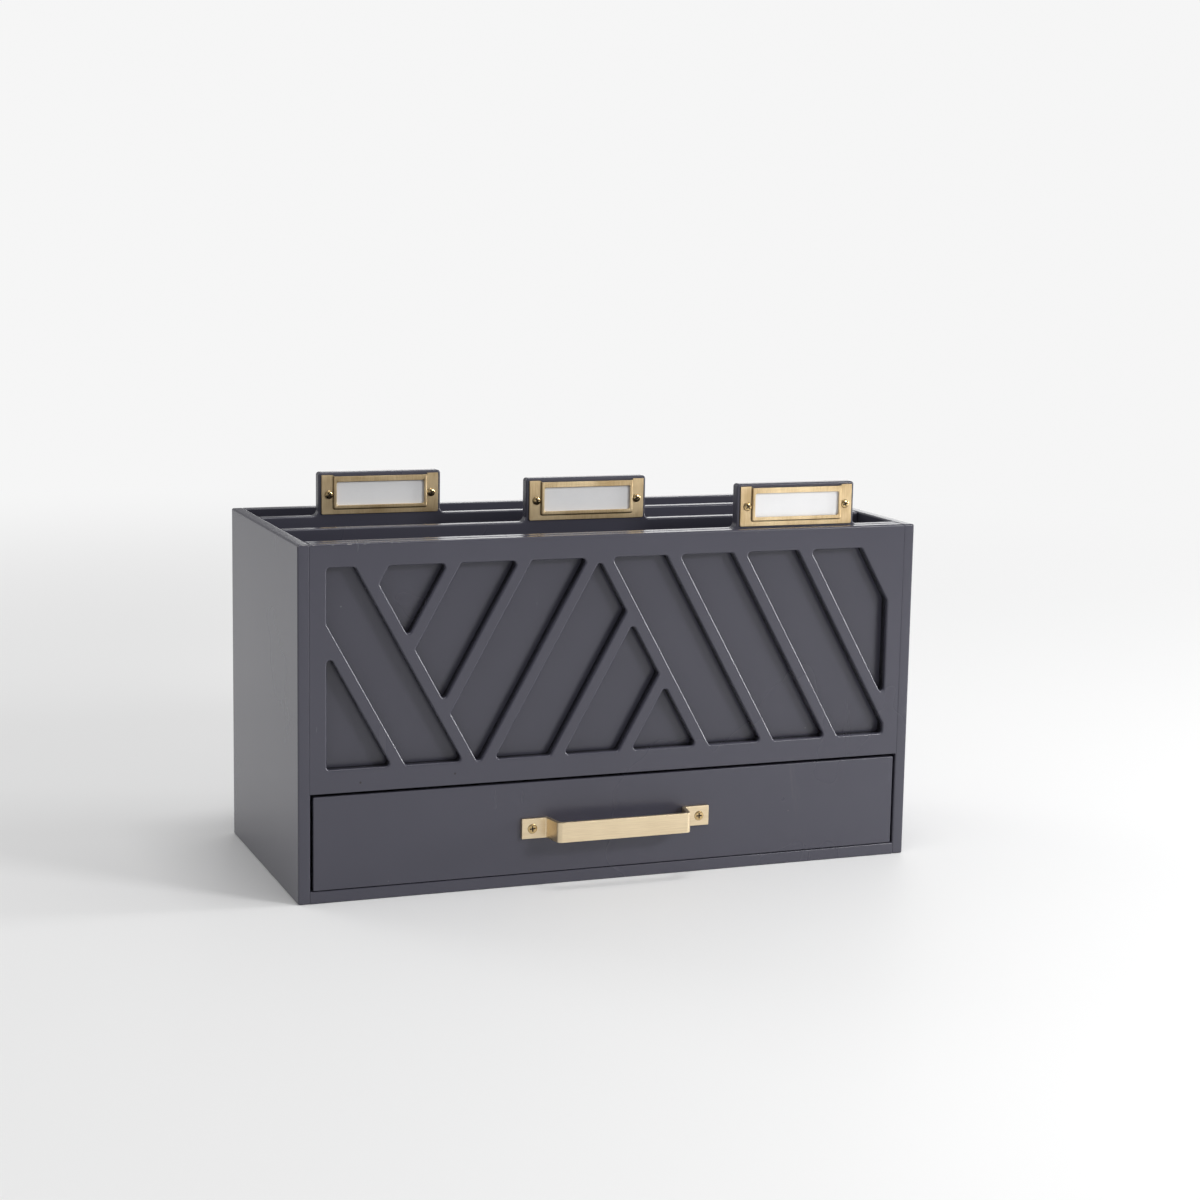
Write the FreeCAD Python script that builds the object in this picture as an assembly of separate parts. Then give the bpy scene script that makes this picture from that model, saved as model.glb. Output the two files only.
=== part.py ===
import FreeCAD, Part
import math
import os

# Envelope sorter: three upright slots in a painted board case, over one shallow drawer.
# Millimetres. X runs left to right, Y from front to back, Z up.
# The origin is the middle of the case's footprint, on the surface that it stands on.

# Case boards
case_width = 320.0
case_depth = 140.0
case_height = 172.0
side_thick = 6.0
base_thick = 6.0
back_thick = 6.0
floor_thick = 6.0
divider_thick = 6.0
fret_thick = 6.0
backing_thick = 6.0
housing_depth = 2.0
board_bevel = 0.7

# Clear spaces. The rear slot takes what is left of the depth.
front_slot = 40.0
middle_slot = 40.0
bay_height = 47.2

# Slanted openings in the front board: widths are square to the bars
rail_width = 11.3
stile_width = 7.9
bar_width = 24.9
rib_width = 6.1
bar_slope = math.radians(61.0)
left_spine_from_edge = 40.4
right_spine_from_edge = 162.0
rising_rib_from_edge = 32.0
left_falling_bars = 2
right_falling_bars = 4
rising_bars = 6
cutter_radius = 1.6
fret_bevel = 0.4

# Label tabs that stand up from the backing board and the two dividers
tab_beside_holder = 1.5
tab_over_holder = 1.3
tab_from_end = 26.0
tab_spacing = 94.5
tab_corner = 1.6
tab_root = 2.8

# Stamped label holders
holder_height = 19.8
holder_lift = 0.9
holder_corner = 0.7
sheet = 0.8
frame_length = 48.8
end_plate = 6.1
frame_stand = 1.9
frame_foot = 2.6
frame_drop = 0.7
frame_bevel = 0.4
window_side = 1.4
window_under = 1.9
window_over = 2.7
window_corner = 1.2
window_bevel = 0.3
screw_from_end = 3.8

# Label cards
card_thick = 0.4
card_clear = 0.3

# Round-head screws of the label holders
holder_screw_head = 4.3
holder_screw_height = 1.3
holder_screw_shank = 1.8
holder_screw_grip = 4.2

# Drawer
drawer_side_gap = 1.3
drawer_top_gap = 1.4
drawer_floor_gap = 0.3
drawer_back_gap = 0.5
drawer_front_thick = 6.0
drawer_wall = 6.0
drawer_wall_height = 40.0
drawer_bottom_thick = 3.0
drawer_bottom_lift = 3.0
drawer_groove = 2.5
drawer_bevel = 0.4

# Drawer pull, a flat bar bent twice at each end
pull_length = 98.6
pull_front_length = 69.3
pull_foot = 12.5
pull_height = 10.0
pull_thick = 2.0
pull_reach = 14.0
pull_bend = 0.6
pull_bevel = 0.25

# Countersunk screws of the pull
pull_screw_from_end = 5.3
pull_screw_head = 5.0
pull_screw_sink = 1.3
pull_screw_crown = 0.35
pull_screw_shank = 2.4
pull_screw_length = 7.0

# Brads that pin the front boards to the slot floor's edge
brad_width = 1.2
brad_thick = 1.0
brad_length = 22.0
brad_cover = 0.6
brad_from_end = 24.0
brad_spacing = 47.0

# Width of a screw head's top as a share of its base
head_top_share = 0.6

overrun = 1.0
snap = 0.01

# Sizes and places worked out from the ones above
inner_x = case_width / 2 - side_thick
outer_x = case_width / 2
front_y = -case_depth / 2
rear_y = case_depth / 2
backing_y = front_y + fret_thick
slots_y = backing_y + backing_thick
middle_divider_y = slots_y + front_slot
rear_divider_y = middle_divider_y + divider_thick + middle_slot
back_y = rear_y - back_thick
bay_top = base_thick + bay_height
slot_floor_top = bay_top + floor_thick
holder_length = frame_length + 2 * end_plate
window_length = frame_length - 2 * window_side
tab_width = holder_length + 2 * tab_beside_holder
tab_top = case_height + holder_lift + holder_height + tab_over_holder
front_tab_x = inner_x - tab_from_end - tab_width / 2
middle_tab_x = front_tab_x - tab_spacing
rear_tab_x = middle_tab_x - tab_spacing


def vec(x, y, z):
    return FreeCAD.Vector(x, y, z)


def box(low, high):
    size = high - low
    return Part.makeBox(size.x, size.y, size.z, low)


def cylinder_back(x, y, z, radius, length):
    # Runs from the point towards the back
    return Part.makeCylinder(radius, length, vec(x, y, z), vec(0, 1, 0))


def edges_where(shape, test):
    return [edge for edge in shape.Edges if all(test(v.Point) for v in edge.Vertexes)]


def rounded_outline(points, radii, to_vector):
    # A closed wire through flat points, each corner turned into an arc of its own radius
    count = len(points)
    edge_share = 0.49
    starts, middles, ends = [], [], []
    for index, corner in enumerate(points):
        before = points[index - 1]
        after = points[(index + 1) % count]
        to_before = (before[0] - corner[0], before[1] - corner[1])
        to_after = (after[0] - corner[0], after[1] - corner[1])
        run_before = math.hypot(*to_before)
        run_after = math.hypot(*to_after)
        u = (to_before[0] / run_before, to_before[1] / run_before)
        w = (to_after[0] / run_after, to_after[1] / run_after)
        half = math.acos(max(-1, min(1, u[0] * w[0] + u[1] * w[1]))) / 2
        cut = min(radii[index] / math.tan(half), edge_share * min(run_before, run_after))
        radius = cut * math.tan(half)
        inward = (u[0] + w[0], u[1] + w[1])
        reach = (radius / math.sin(half) - radius) / math.hypot(*inward)
        starts.append((corner[0] + u[0] * cut, corner[1] + u[1] * cut))
        middles.append((corner[0] + inward[0] * reach, corner[1] + inward[1] * reach))
        ends.append((corner[0] + w[0] * cut, corner[1] + w[1] * cut))
    edges = []
    for index in range(count):
        start, middle, end = (to_vector(*p) for p in (starts[index], middles[index], ends[index]))
        following = to_vector(*starts[(index + 1) % count])
        if radii[index] > 0:
            edges.append(Part.Arc(start, middle, end).toShape())
        edges.append(Part.makeLine(end, following))
    return Part.Wire(edges)


def upright_plate(points, radii, y, thickness):
    # An outline in X and Z, given thickness towards the back
    wire = rounded_outline(points, radii, lambda x, z: vec(x, y, z))
    return Part.Face(wire).extrude(vec(0, thickness, 0))


def edge_bevel(x, z, away, start_y, end_y):
    # What a bevelled long edge takes off a board whose body lies on the side away from the edge
    corners = [vec(x, start_y, z - board_bevel), vec(x, start_y, z), vec(x + away * board_bevel, start_y, z)]
    outline = Part.makePolygon(corners + corners[:1])
    return Part.Face(outline).extrude(vec(0, end_y - start_y, 0))


def side_panel(sign):
    low = vec(min(sign * inner_x, sign * outer_x), front_y, 0)
    high = vec(max(sign * inner_x, sign * outer_x), rear_y, case_height)
    panel = box(low, high)
    outside = edges_where(panel, lambda p: abs(p.x - sign * outer_x) < snap)
    bevelled = [edge for edge in outside if edge.BoundBox.ZMax > snap]
    top = edges_where(panel, lambda p: abs(p.z - case_height) < snap)
    bevelled += [edge for edge in top if edge.BoundBox.XLength > snap]
    panel = panel.makeChamfer(board_bevel, bevelled)
    panel = panel.cut(edge_bevel(sign * inner_x, case_height, sign, slots_y, back_y))

    # Housings for the slot floor, the dividers and the back
    seat_x = sign * (inner_x + housing_depth)
    near_x = min(sign * (inner_x - overrun), seat_x)
    far_x = max(sign * (inner_x - overrun), seat_x)
    housings = [
        box(vec(near_x, slots_y, bay_top), vec(far_x, back_y, slot_floor_top)),
        box(vec(near_x, back_y, -overrun), vec(far_x, rear_y + overrun, case_height + overrun)),
    ]
    for y in (middle_divider_y, rear_divider_y):
        top = vec(far_x, y + divider_thick, case_height + overrun)
        housings.append(box(vec(near_x, y, slot_floor_top), top))
    return panel.cut(housings)


def base_panel():
    return box(vec(-inner_x, front_y, 0), vec(inner_x, back_y, base_thick))


def back_panel():
    half = inner_x + housing_depth
    panel = box(vec(-half, back_y, 0), vec(half, rear_y, case_height))
    top_edges = edges_where(panel, lambda p: abs(p.z - case_height) < snap)
    long_edges = [edge for edge in top_edges if edge.BoundBox.XLength > snap]
    return panel.makeChamfer(board_bevel, long_edges)


def front_brads():
    # Cut from flat wire, with square ends
    brads = []
    z = (bay_top + slot_floor_top) / 2
    outer_brad_x = inner_x - brad_from_end
    inner_brad_x = outer_brad_x - brad_spacing
    for x in (-outer_brad_x, -inner_brad_x, inner_brad_x, outer_brad_x):
        low = vec(x - brad_width / 2, front_y + brad_cover, z - brad_thick / 2)
        brads.append(box(low, low + vec(brad_width, brad_length, brad_thick)))
    return Part.makeCompound(brads)


def slot_floor():
    half = inner_x + housing_depth
    panel = box(vec(-half, slots_y, bay_top), vec(half, back_y, slot_floor_top))
    return panel.cut(front_brads())


def tabbed_board(half_width, bottom, y, thickness, tab_x, both_faces):
    # A divider or backing board, with its label tab in one piece
    left, right = tab_x - tab_width / 2, tab_x + tab_width / 2
    points = [(-half_width, bottom), (half_width, bottom), (half_width, case_height),
              (right, case_height), (right, tab_top), (left, tab_top), (left, case_height),
              (-half_width, case_height)]
    radii = [0, 0, 0, tab_root, tab_corner, tab_corner, tab_root, 0]
    board = upright_plate(points, radii, y, thickness)
    faces = (y, y + thickness) if both_faces else (y + thickness,)
    bevelled = []
    for face_y in faces:
        bevelled += edges_where(board, lambda p: abs(p.y - face_y) < snap and p.z > case_height - snap)
    return board.makeChamfer(board_bevel, bevelled)


def clip(points, normal, limit):
    # Keeps the part of a convex outline where the distance along the normal is below the limit
    kept = []
    for index, point in enumerate(points):
        previous = points[index - 1]
        here = point[0] * normal[0] + point[1] * normal[1] - limit
        there = previous[0] * normal[0] + previous[1] * normal[1] - limit
        if (here < 0) != (there < 0):
            share = there / (there - here)
            kept.append((previous[0] + share * (point[0] - previous[0]),
                         previous[1] + share * (point[1] - previous[1])))
        if here < 0:
            kept.append(point)
    return kept


def between(points, normal, near, far):
    # The band of a convex outline between two parallel lines. A line that would leave
    # a corner thinner than a rib isn't cut, so the opening runs on into the corner.
    distances = [x * normal[0] + z * normal[1] for x, z in points]
    if max(distances) - far > rib_width:
        points = clip(points, normal, far)
    if points and near - min(distances) > rib_width:
        points = clip(points, (-normal[0], -normal[1]), -near)
    return points


def fret_outlines():
    # Two spines fall to the right. Bars fall beside them, and rise between them.
    edge_x = inner_x - stile_width
    low_z = bay_top + rail_width
    high_z = case_height - rail_width
    middle_z = (low_z + high_z) / 2
    area = [(-edge_x, low_z), (edge_x, low_z), (edge_x, high_z), (-edge_x, high_z)]
    falling = (math.sin(bar_slope), math.cos(bar_slope))
    rising = (math.sin(bar_slope), -math.cos(bar_slope))
    pitch = bar_width + rib_width

    def along(normal, from_edge):
        x = from_edge - edge_x
        return x * normal[0] + middle_z * normal[1]

    left_spine = along(falling, left_spine_from_edge)
    right_spine = along(falling, right_spine_from_edge)
    outlines = []
    for index in range(left_falling_bars):
        far = left_spine - index * pitch
        outlines.append(between(area, falling, far - bar_width, far))
    for index in range(right_falling_bars):
        near = right_spine + rib_width + index * pitch
        outlines.append(between(area, falling, near, near + bar_width))
    middle = between(area, falling, left_spine + rib_width, right_spine)
    first = along(rising, rising_rib_from_edge)
    for index in range(rising_bars):
        far = first + index * pitch
        outlines.append(between(middle, rising, far - bar_width, far))
    return [outline for outline in outlines if len(outline) > 2]


def front_fret_panel():
    panel = box(vec(-inner_x, front_y, bay_top), vec(inner_x, backing_y, case_height))
    top_edge = edges_where(panel, lambda p: abs(p.z - case_height) < snap and abs(p.y - front_y) < snap)
    panel = panel.makeChamfer(board_bevel, top_edge)
    openings = []
    for outline in fret_outlines():
        radii = [cutter_radius] * len(outline)
        openings.append(upright_plate(outline, radii, front_y - overrun, fret_thick + 2 * overrun))
    panel = panel.cut(openings)
    edge_x = inner_x - stile_width + snap
    low_z = bay_top + rail_width - snap
    high_z = case_height - rail_width + snap
    front_edges = edges_where(
        panel,
        lambda p: abs(p.y - front_y) < snap and abs(p.x) < edge_x and low_z < p.z < high_z)
    return panel.makeChamfer(fret_bevel, front_edges).cut(front_brads())


def front_backing_panel():
    board = tabbed_board(inner_x, bay_top, backing_y, backing_thick, front_tab_x, False)
    pilots = holder_screw_shanks(front_tab_x, backing_y)
    return board.cut(pilots + [front_brads()])


def divider(y, tab_x):
    half = inner_x + housing_depth
    board = tabbed_board(half, slot_floor_top, y, divider_thick, tab_x, True)
    return board.cut(holder_screw_shanks(tab_x, y))


def holder_screw_places(tab_x):
    offset = holder_length / 2 - screw_from_end
    z = case_height + holder_lift + holder_height / 2
    return [(tab_x - offset, z), (tab_x + offset, z)]


def holder_screw_shanks(tab_x, face_y):
    length = sheet + holder_screw_grip
    return [cylinder_back(x, face_y - sheet, z, holder_screw_shank / 2, length)
            for x, z in holder_screw_places(tab_x)]


def screw_head(x, y, z, radius, height):
    # Narrows from its flat side at y towards the front
    return Part.makeCone(radius, radius * head_top_share, height, vec(x, y, z), vec(0, -1, 0))


def holder_screws(tab_x, face_y):
    screws = []
    head_y = face_y - sheet
    for (x, z), shank in zip(holder_screw_places(tab_x), holder_screw_shanks(tab_x, face_y)):
        head = screw_head(x, head_y, z, holder_screw_head / 2, holder_screw_height)
        screws.append(head.fuse(shank).removeSplitter())
    return Part.makeCompound(screws)


def label_holder(tab_x, face_y):
    # End plates and a lower flange lie on the tab. The frame stands off it, open at the top.
    z = case_height + holder_lift
    half = holder_length / 2
    plate_points = [(tab_x - half, z), (tab_x + half, z),
                    (tab_x + half, z + holder_height), (tab_x - half, z + holder_height)]
    body = upright_plate(plate_points, [holder_corner] * 4, face_y - sheet, sheet)
    frame_half = frame_length / 2
    frame_top = z + holder_height - frame_drop
    face = face_y - frame_stand
    frame = box(vec(tab_x - frame_half, face, z + frame_foot), vec(tab_x + frame_half, face_y, frame_top))
    front_edges = edges_where(frame, lambda p: abs(p.y - face) < snap)
    upright_edges = [edge for edge in frame.Edges
                     if edge.BoundBox.YLength > snap and edge.BoundBox.ZMax < frame_top - snap]
    frame = frame.makeChamfer(frame_bevel, front_edges + upright_edges)
    body = body.fuse(frame)
    pocket_half = frame_half - sheet
    pocket = box(vec(tab_x - pocket_half, face + sheet, z + frame_foot + sheet),
                 vec(tab_x + pocket_half, face_y + overrun, z + holder_height + overrun))
    above = box(vec(tab_x - frame_half, face, frame_top),
                vec(tab_x + frame_half, face_y + overrun, z + holder_height + overrun))
    window_half = window_length / 2
    window_low = z + frame_foot + window_under
    window_high = frame_top - window_over
    window_points = [(tab_x - window_half, window_low), (tab_x + window_half, window_low),
                     (tab_x + window_half, window_high), (tab_x - window_half, window_high)]
    window = upright_plate(window_points, [window_corner] * 4, face - overrun, sheet + 2 * overrun)
    body = body.cut([pocket, above, window])
    lips = edges_where(body, lambda p: (abs(p.y - face) < snap
                                        and abs(p.x - tab_x) < window_half + snap
                                        and window_low - snap < p.z < window_high + snap))
    body = body.makeChamfer(window_bevel, lips)
    return body.cut(holder_screw_shanks(tab_x, face_y)).removeSplitter()


def label_card(tab_x, face_y):
    pocket_half = frame_length / 2 - sheet
    z = case_height + holder_lift
    gap = (frame_stand - sheet - card_thick) / 2
    low = vec(tab_x - pocket_half + card_clear, face_y - gap - card_thick,
              z + frame_foot + sheet + card_clear)
    high = vec(tab_x + pocket_half - card_clear, face_y - gap,
               z + holder_height - frame_drop - card_clear)
    return box(low, high)


# Drawer, closed
drawer_half = inner_x - drawer_side_gap
drawer_low = base_thick + drawer_floor_gap
drawer_high = bay_top - drawer_top_gap
drawer_box_y = front_y + drawer_front_thick
drawer_rear_y = back_y - drawer_back_gap
pull_z = (drawer_low + drawer_high) / 2


def pull_screw_axes():
    offset = pull_length / 2 - pull_screw_from_end
    return [-offset, offset]


def pull_screw(x):
    surface = front_y - pull_thick
    head_radius = pull_screw_head / 2
    shank_radius = pull_screw_shank / 2
    cone = Part.makeCone(head_radius, shank_radius, pull_screw_sink,
                         vec(x, surface, pull_z), vec(0, 1, 0))
    shank = cylinder_back(x, surface + pull_screw_sink, pull_z, shank_radius,
                          pull_screw_length - pull_screw_sink)
    cap = screw_head(x, surface, pull_z, head_radius, pull_screw_crown)
    return cone.fuse([shank, cap]).removeSplitter()


def pull_screws():
    return Part.makeCompound([pull_screw(x) for x in pull_screw_axes()])


def pull_screw_holes():
    # Countersinks and pilots that the screws fill
    holes = []
    surface = front_y - pull_thick
    for x in pull_screw_axes():
        cone = Part.makeCone(pull_screw_head / 2, pull_screw_shank / 2, pull_screw_sink,
                             vec(x, surface, pull_z), vec(0, 1, 0))
        holes.append(cone)
        holes.append(cylinder_back(x, surface, pull_z, pull_screw_shank / 2, pull_screw_length))
    return holes


def offset_line(points, distance):
    # The line beside an open path, with its corners mitred
    moved = []
    for index, point in enumerate(points):
        before = points[max(index - 1, 0)]
        after = points[min(index + 1, len(points) - 1)]
        normals = []
        for start, end in ((before, point), (point, after)):
            run = math.hypot(end[0] - start[0], end[1] - start[1])
            if run > 0:
                normals.append(((start[1] - end[1]) / run, (end[0] - start[0]) / run))
        first, last = normals[0], normals[-1]
        scale = distance / (1 + first[0] * last[0] + first[1] * last[1])
        moved.append((point[0] + (first[0] + last[0]) * scale,
                      point[1] + (first[1] + last[1]) * scale))
    return moved


def drawer_pull():
    # Bent from one bar: the path follows its outer face, seen from above
    foot_end = pull_length / 2
    foot_bend = foot_end - pull_foot
    front_end = pull_front_length / 2
    foot_y = front_y - pull_thick
    reach_y = front_y - pull_reach
    outer = [(-foot_end, foot_y), (-foot_bend, foot_y), (-front_end, reach_y),
             (front_end, reach_y), (foot_bend, foot_y), (foot_end, foot_y)]
    inner = offset_line(outer, pull_thick)
    wide = pull_bend + pull_thick
    radii = [0, pull_bend, wide, wide, pull_bend, 0] + [0, wide, pull_bend, pull_bend, wide, 0]
    low_z = pull_z - pull_height / 2
    wire = rounded_outline(outer + inner[::-1], radii, lambda x, y: vec(x, y, low_z))
    bar = Part.Face(wire).extrude(vec(0, 0, pull_height))
    long_edges = [edge for edge in bar.Edges if edge.BoundBox.ZLength < snap]
    return bar.makeChamfer(pull_bevel, long_edges).cut(pull_screw_holes())


def drawer_front():
    low = vec(-drawer_half, front_y, drawer_low)
    high = vec(drawer_half, drawer_box_y, drawer_high)
    board = box(low, high)
    board = board.makeChamfer(drawer_bevel, edges_where(board, lambda p: abs(p.y - front_y) < snap))
    return board.cut(pull_screw_holes() + [drawer_bottom()])


def drawer_bottom():
    half = drawer_half - drawer_wall + drawer_groove
    low_z = drawer_low + drawer_bottom_lift
    return box(vec(-half, drawer_box_y - drawer_groove, low_z),
               vec(half, drawer_rear_y - drawer_wall + drawer_groove, low_z + drawer_bottom_thick))


def drawer_side(sign):
    low = vec(min(sign * drawer_half, sign * (drawer_half - drawer_wall)), drawer_box_y, drawer_low)
    high = vec(max(sign * drawer_half, sign * (drawer_half - drawer_wall)), drawer_rear_y,
               drawer_low + drawer_wall_height)
    board = box(low, high)
    top_edges = [edge for edge in board.Edges
                 if edge.BoundBox.ZMin > high.z - snap and edge.BoundBox.YLength > snap]
    return board.makeChamfer(drawer_bevel, top_edges).cut(drawer_bottom())


def drawer_back():
    half = drawer_half - drawer_wall
    low = vec(-half, drawer_rear_y - drawer_wall, drawer_low)
    high = vec(half, drawer_rear_y, drawer_low + drawer_wall_height)
    board = box(low, high)
    top_edges = [edge for edge in board.Edges
                 if edge.BoundBox.ZMin > high.z - snap and edge.BoundBox.XLength > snap]
    return board.makeChamfer(drawer_bevel, top_edges).cut(drawer_bottom())


nodes = {
    "left_side_panel": side_panel(-1),
    "right_side_panel": side_panel(1),
    "base_panel": base_panel(),
    "back_panel": back_panel(),
    "slot_floor": slot_floor(),
    "front_fret_panel": front_fret_panel(),
    "front_backing_panel": front_backing_panel(),
    "middle_divider": divider(middle_divider_y, middle_tab_x),
    "rear_divider": divider(rear_divider_y, rear_tab_x),
    "front_brads": front_brads(),
    "drawer_front": drawer_front(),
    "drawer_left_side": drawer_side(-1),
    "drawer_right_side": drawer_side(1),
    "drawer_back": drawer_back(),
    "drawer_bottom": drawer_bottom(),
    "drawer_pull": drawer_pull(),
    "pull_screws": pull_screws(),
}
tabs = {
    "front": (front_tab_x, backing_y),
    "middle": (middle_tab_x, middle_divider_y),
    "rear": (rear_tab_x, rear_divider_y),
}
for place, (tab_x, face_y) in tabs.items():
    nodes[place + "_label_holder"] = label_holder(tab_x, face_y)
    nodes[place + "_label_card"] = label_card(tab_x, face_y)
    nodes[place + "_holder_screws"] = holder_screws(tab_x, face_y)

os.makedirs("parts", exist_ok=True)
for name, shape in nodes.items():
    shape.exportStep("parts/" + name + ".step")
    print(name, len(shape.Solids), "solids", round(shape.Volume, 1), "valid", shape.isValid())
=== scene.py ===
import bpy
import bmesh
import math
from mathutils import Matrix, Vector


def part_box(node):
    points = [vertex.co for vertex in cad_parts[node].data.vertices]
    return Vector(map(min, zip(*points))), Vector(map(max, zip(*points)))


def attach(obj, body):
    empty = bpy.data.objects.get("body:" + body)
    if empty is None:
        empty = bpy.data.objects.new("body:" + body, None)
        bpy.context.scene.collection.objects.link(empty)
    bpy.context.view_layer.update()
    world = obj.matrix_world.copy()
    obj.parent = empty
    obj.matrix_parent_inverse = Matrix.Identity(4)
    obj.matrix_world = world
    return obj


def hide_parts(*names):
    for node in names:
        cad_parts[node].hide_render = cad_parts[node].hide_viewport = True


# Envelope sorter with one drawer: painted boards, slanted openings in the front, brass fittings.
# Metres, X along the front, Y to the back, Z up.

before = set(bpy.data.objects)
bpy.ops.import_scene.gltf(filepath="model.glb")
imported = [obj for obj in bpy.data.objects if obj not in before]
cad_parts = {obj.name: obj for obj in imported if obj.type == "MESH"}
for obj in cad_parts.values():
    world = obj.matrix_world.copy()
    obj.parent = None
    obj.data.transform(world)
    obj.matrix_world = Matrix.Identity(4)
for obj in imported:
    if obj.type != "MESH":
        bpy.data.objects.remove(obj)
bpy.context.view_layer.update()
print("frame loaded:", len(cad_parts), "nodes")


# node wiring

class Flow:
    # wraps one output socket, so that sums are written as plain expressions
    def __init__(self, bench, node, socket):
        self.bench = bench
        self.node = node
        self.socket = socket

    def out(self, name):
        return Flow(self.bench, self.node, self.node.outputs[name])

    def math(self, operation, *values):
        return self.bench.add("ShaderNodeMath", {"operation": operation}, *values)

    def __add__(self, other):
        return self.math("ADD", self, other)

    def __radd__(self, other):
        return self.math("ADD", other, self)

    def __sub__(self, other):
        return self.math("SUBTRACT", self, other)

    def __rsub__(self, other):
        return self.math("SUBTRACT", other, self)

    def __mul__(self, other):
        return self.math("MULTIPLY", self, other)

    def __truediv__(self, other):
        return self.math("DIVIDE", self, other)

    def __pow__(self, other):
        return self.math("POWER", self, other)


class Bench:
    # one node tree: add() takes a node's type, its settings, then its sockets' values or links
    def __init__(self, tree):
        self.tree = tree

    def feed(self, socket, value):
        if isinstance(value, Flow):
            self.tree.links.new(value.socket, socket)
        else:
            socket.default_value = value

    def add(self, kind, settings=None, *values, **named):
        node = self.tree.nodes.new(kind)
        for key, value in (settings or {}).items():
            setattr(node, key, value)
        enabled = [socket for socket in node.inputs if socket.enabled]
        for socket, value in zip(enabled, values):
            self.feed(socket, value)
        for key, value in named.items():
            wanted = key.replace("_", " ")
            self.feed(next(socket for socket in enabled if socket.name == wanted), value)
        shown = [socket for socket in node.outputs if socket.enabled]
        return Flow(self, node, shown[0] if shown else None)

    def ramp(self, value, low, high):
        # 0 below low, 1 above high, eased in between
        return self.add("ShaderNodeMapRange", {"interpolation_type": "SMOOTHSTEP"},
                        value, low, high, 0, 1)

    def noise(self, place, scale, detail=2, roughness=0.5, distortion=0):
        # the fifth value, lacunarity, is Blender's own default
        return self.add("ShaderNodeTexNoise", {"noise_dimensions": "3D"},
                        place, scale, detail, roughness, 2, distortion)

    def stretch(self, place, scale, turn=(0, 0, 0)):
        return self.add("ShaderNodeMapping", {"vector_type": "POINT"}, place, (0, 0, 0), turn, scale)

    def tint(self, factor, first, second):
        return self.add("ShaderNodeMix", {"data_type": "RGBA", "blend_type": "MIX"}, factor, first, second)


def colour(red, green, blue):
    return (red, green, blue, 1)


def newFinish(name, **fixed):
    # a material with its shader's constants set on the shader's own sockets
    material = bpy.data.materials.new(name)
    material.use_nodes = True
    bench = Bench(material.node_tree)
    shader = material.node_tree.nodes["Principled BSDF"]
    for key, value in fixed.items():
        shader.inputs[key.replace("_", " ")].default_value = value
    place = bench.add("ShaderNodeTexCoord").out("Object")
    return material, bench, shader, place


leftLow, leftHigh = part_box("left_side_panel")
rightLow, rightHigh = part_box("right_side_panel")
caseTop, caseFront = leftHigh.z, leftLow.y
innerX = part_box("base_panel")[1].x

# finishes

paint = {
    "dark": colour(0.048, 0.047, 0.065),
    "light": colour(0.065, 0.064, 0.086),
    "rubbed": colour(0.17, 0.168, 0.175),
    "bare": colour(0.42, 0.40, 0.38),
    "filler": colour(0.035, 0.034, 0.038),
    "ior": 1.52,
    "roughness": 0.24,
    "roughnessRange": 0.06,
    "clouds": 9,             # uneven tone, cells per metre
    "patches": 14,           # where rubbed marks may lie, cells per metre
    "patchLimits": (0.56, 0.7),
    "streaks": (60, 60, 9),
    "streakLean": (0.12, 0.05, 0.0),
    "streakLimits": (0.62, 0.74),
    "rubbedTint": 0.16,
    "dustCells": 95,         # one possible speck in each, cells per metre
    "dustLimits": (0.028, 0.05),
    "dustChance": (0.86, 0.9),
    "dustTint": 0.55,
    "nickCells": (260, 900, 900),
    "nickLimits": (0.56, 0.62),
    "nickDown": (0.0010, 0.0003),    # how far under the top edge nicks begin and are full
    "nickBehind": (0.0010, 0.0002),  # and behind the front's face
    "nickLeft": (0.06, 0.15),        # and left of the middle
    "nickTint": 0.55,
    "peel": 850,             # orange peel, cells per metre
    "roller": 120,           # the roller's slow waves, cells per metre
    "peelHeight": 0.000012,
    "bumpStrength": 0.5,
    "filledMarks": [(-0.1298, 0.0576), (-0.0830, 0.0588)],
    "markRadius": 0.0007,
    "markBehind": (0.004, 0.002),
}
# how high each feature stands, with the orange peel as one
paintHeights = {"roller": 1.4, "marks": -4, "specks": 1.2, "nicks": -3}


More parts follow.
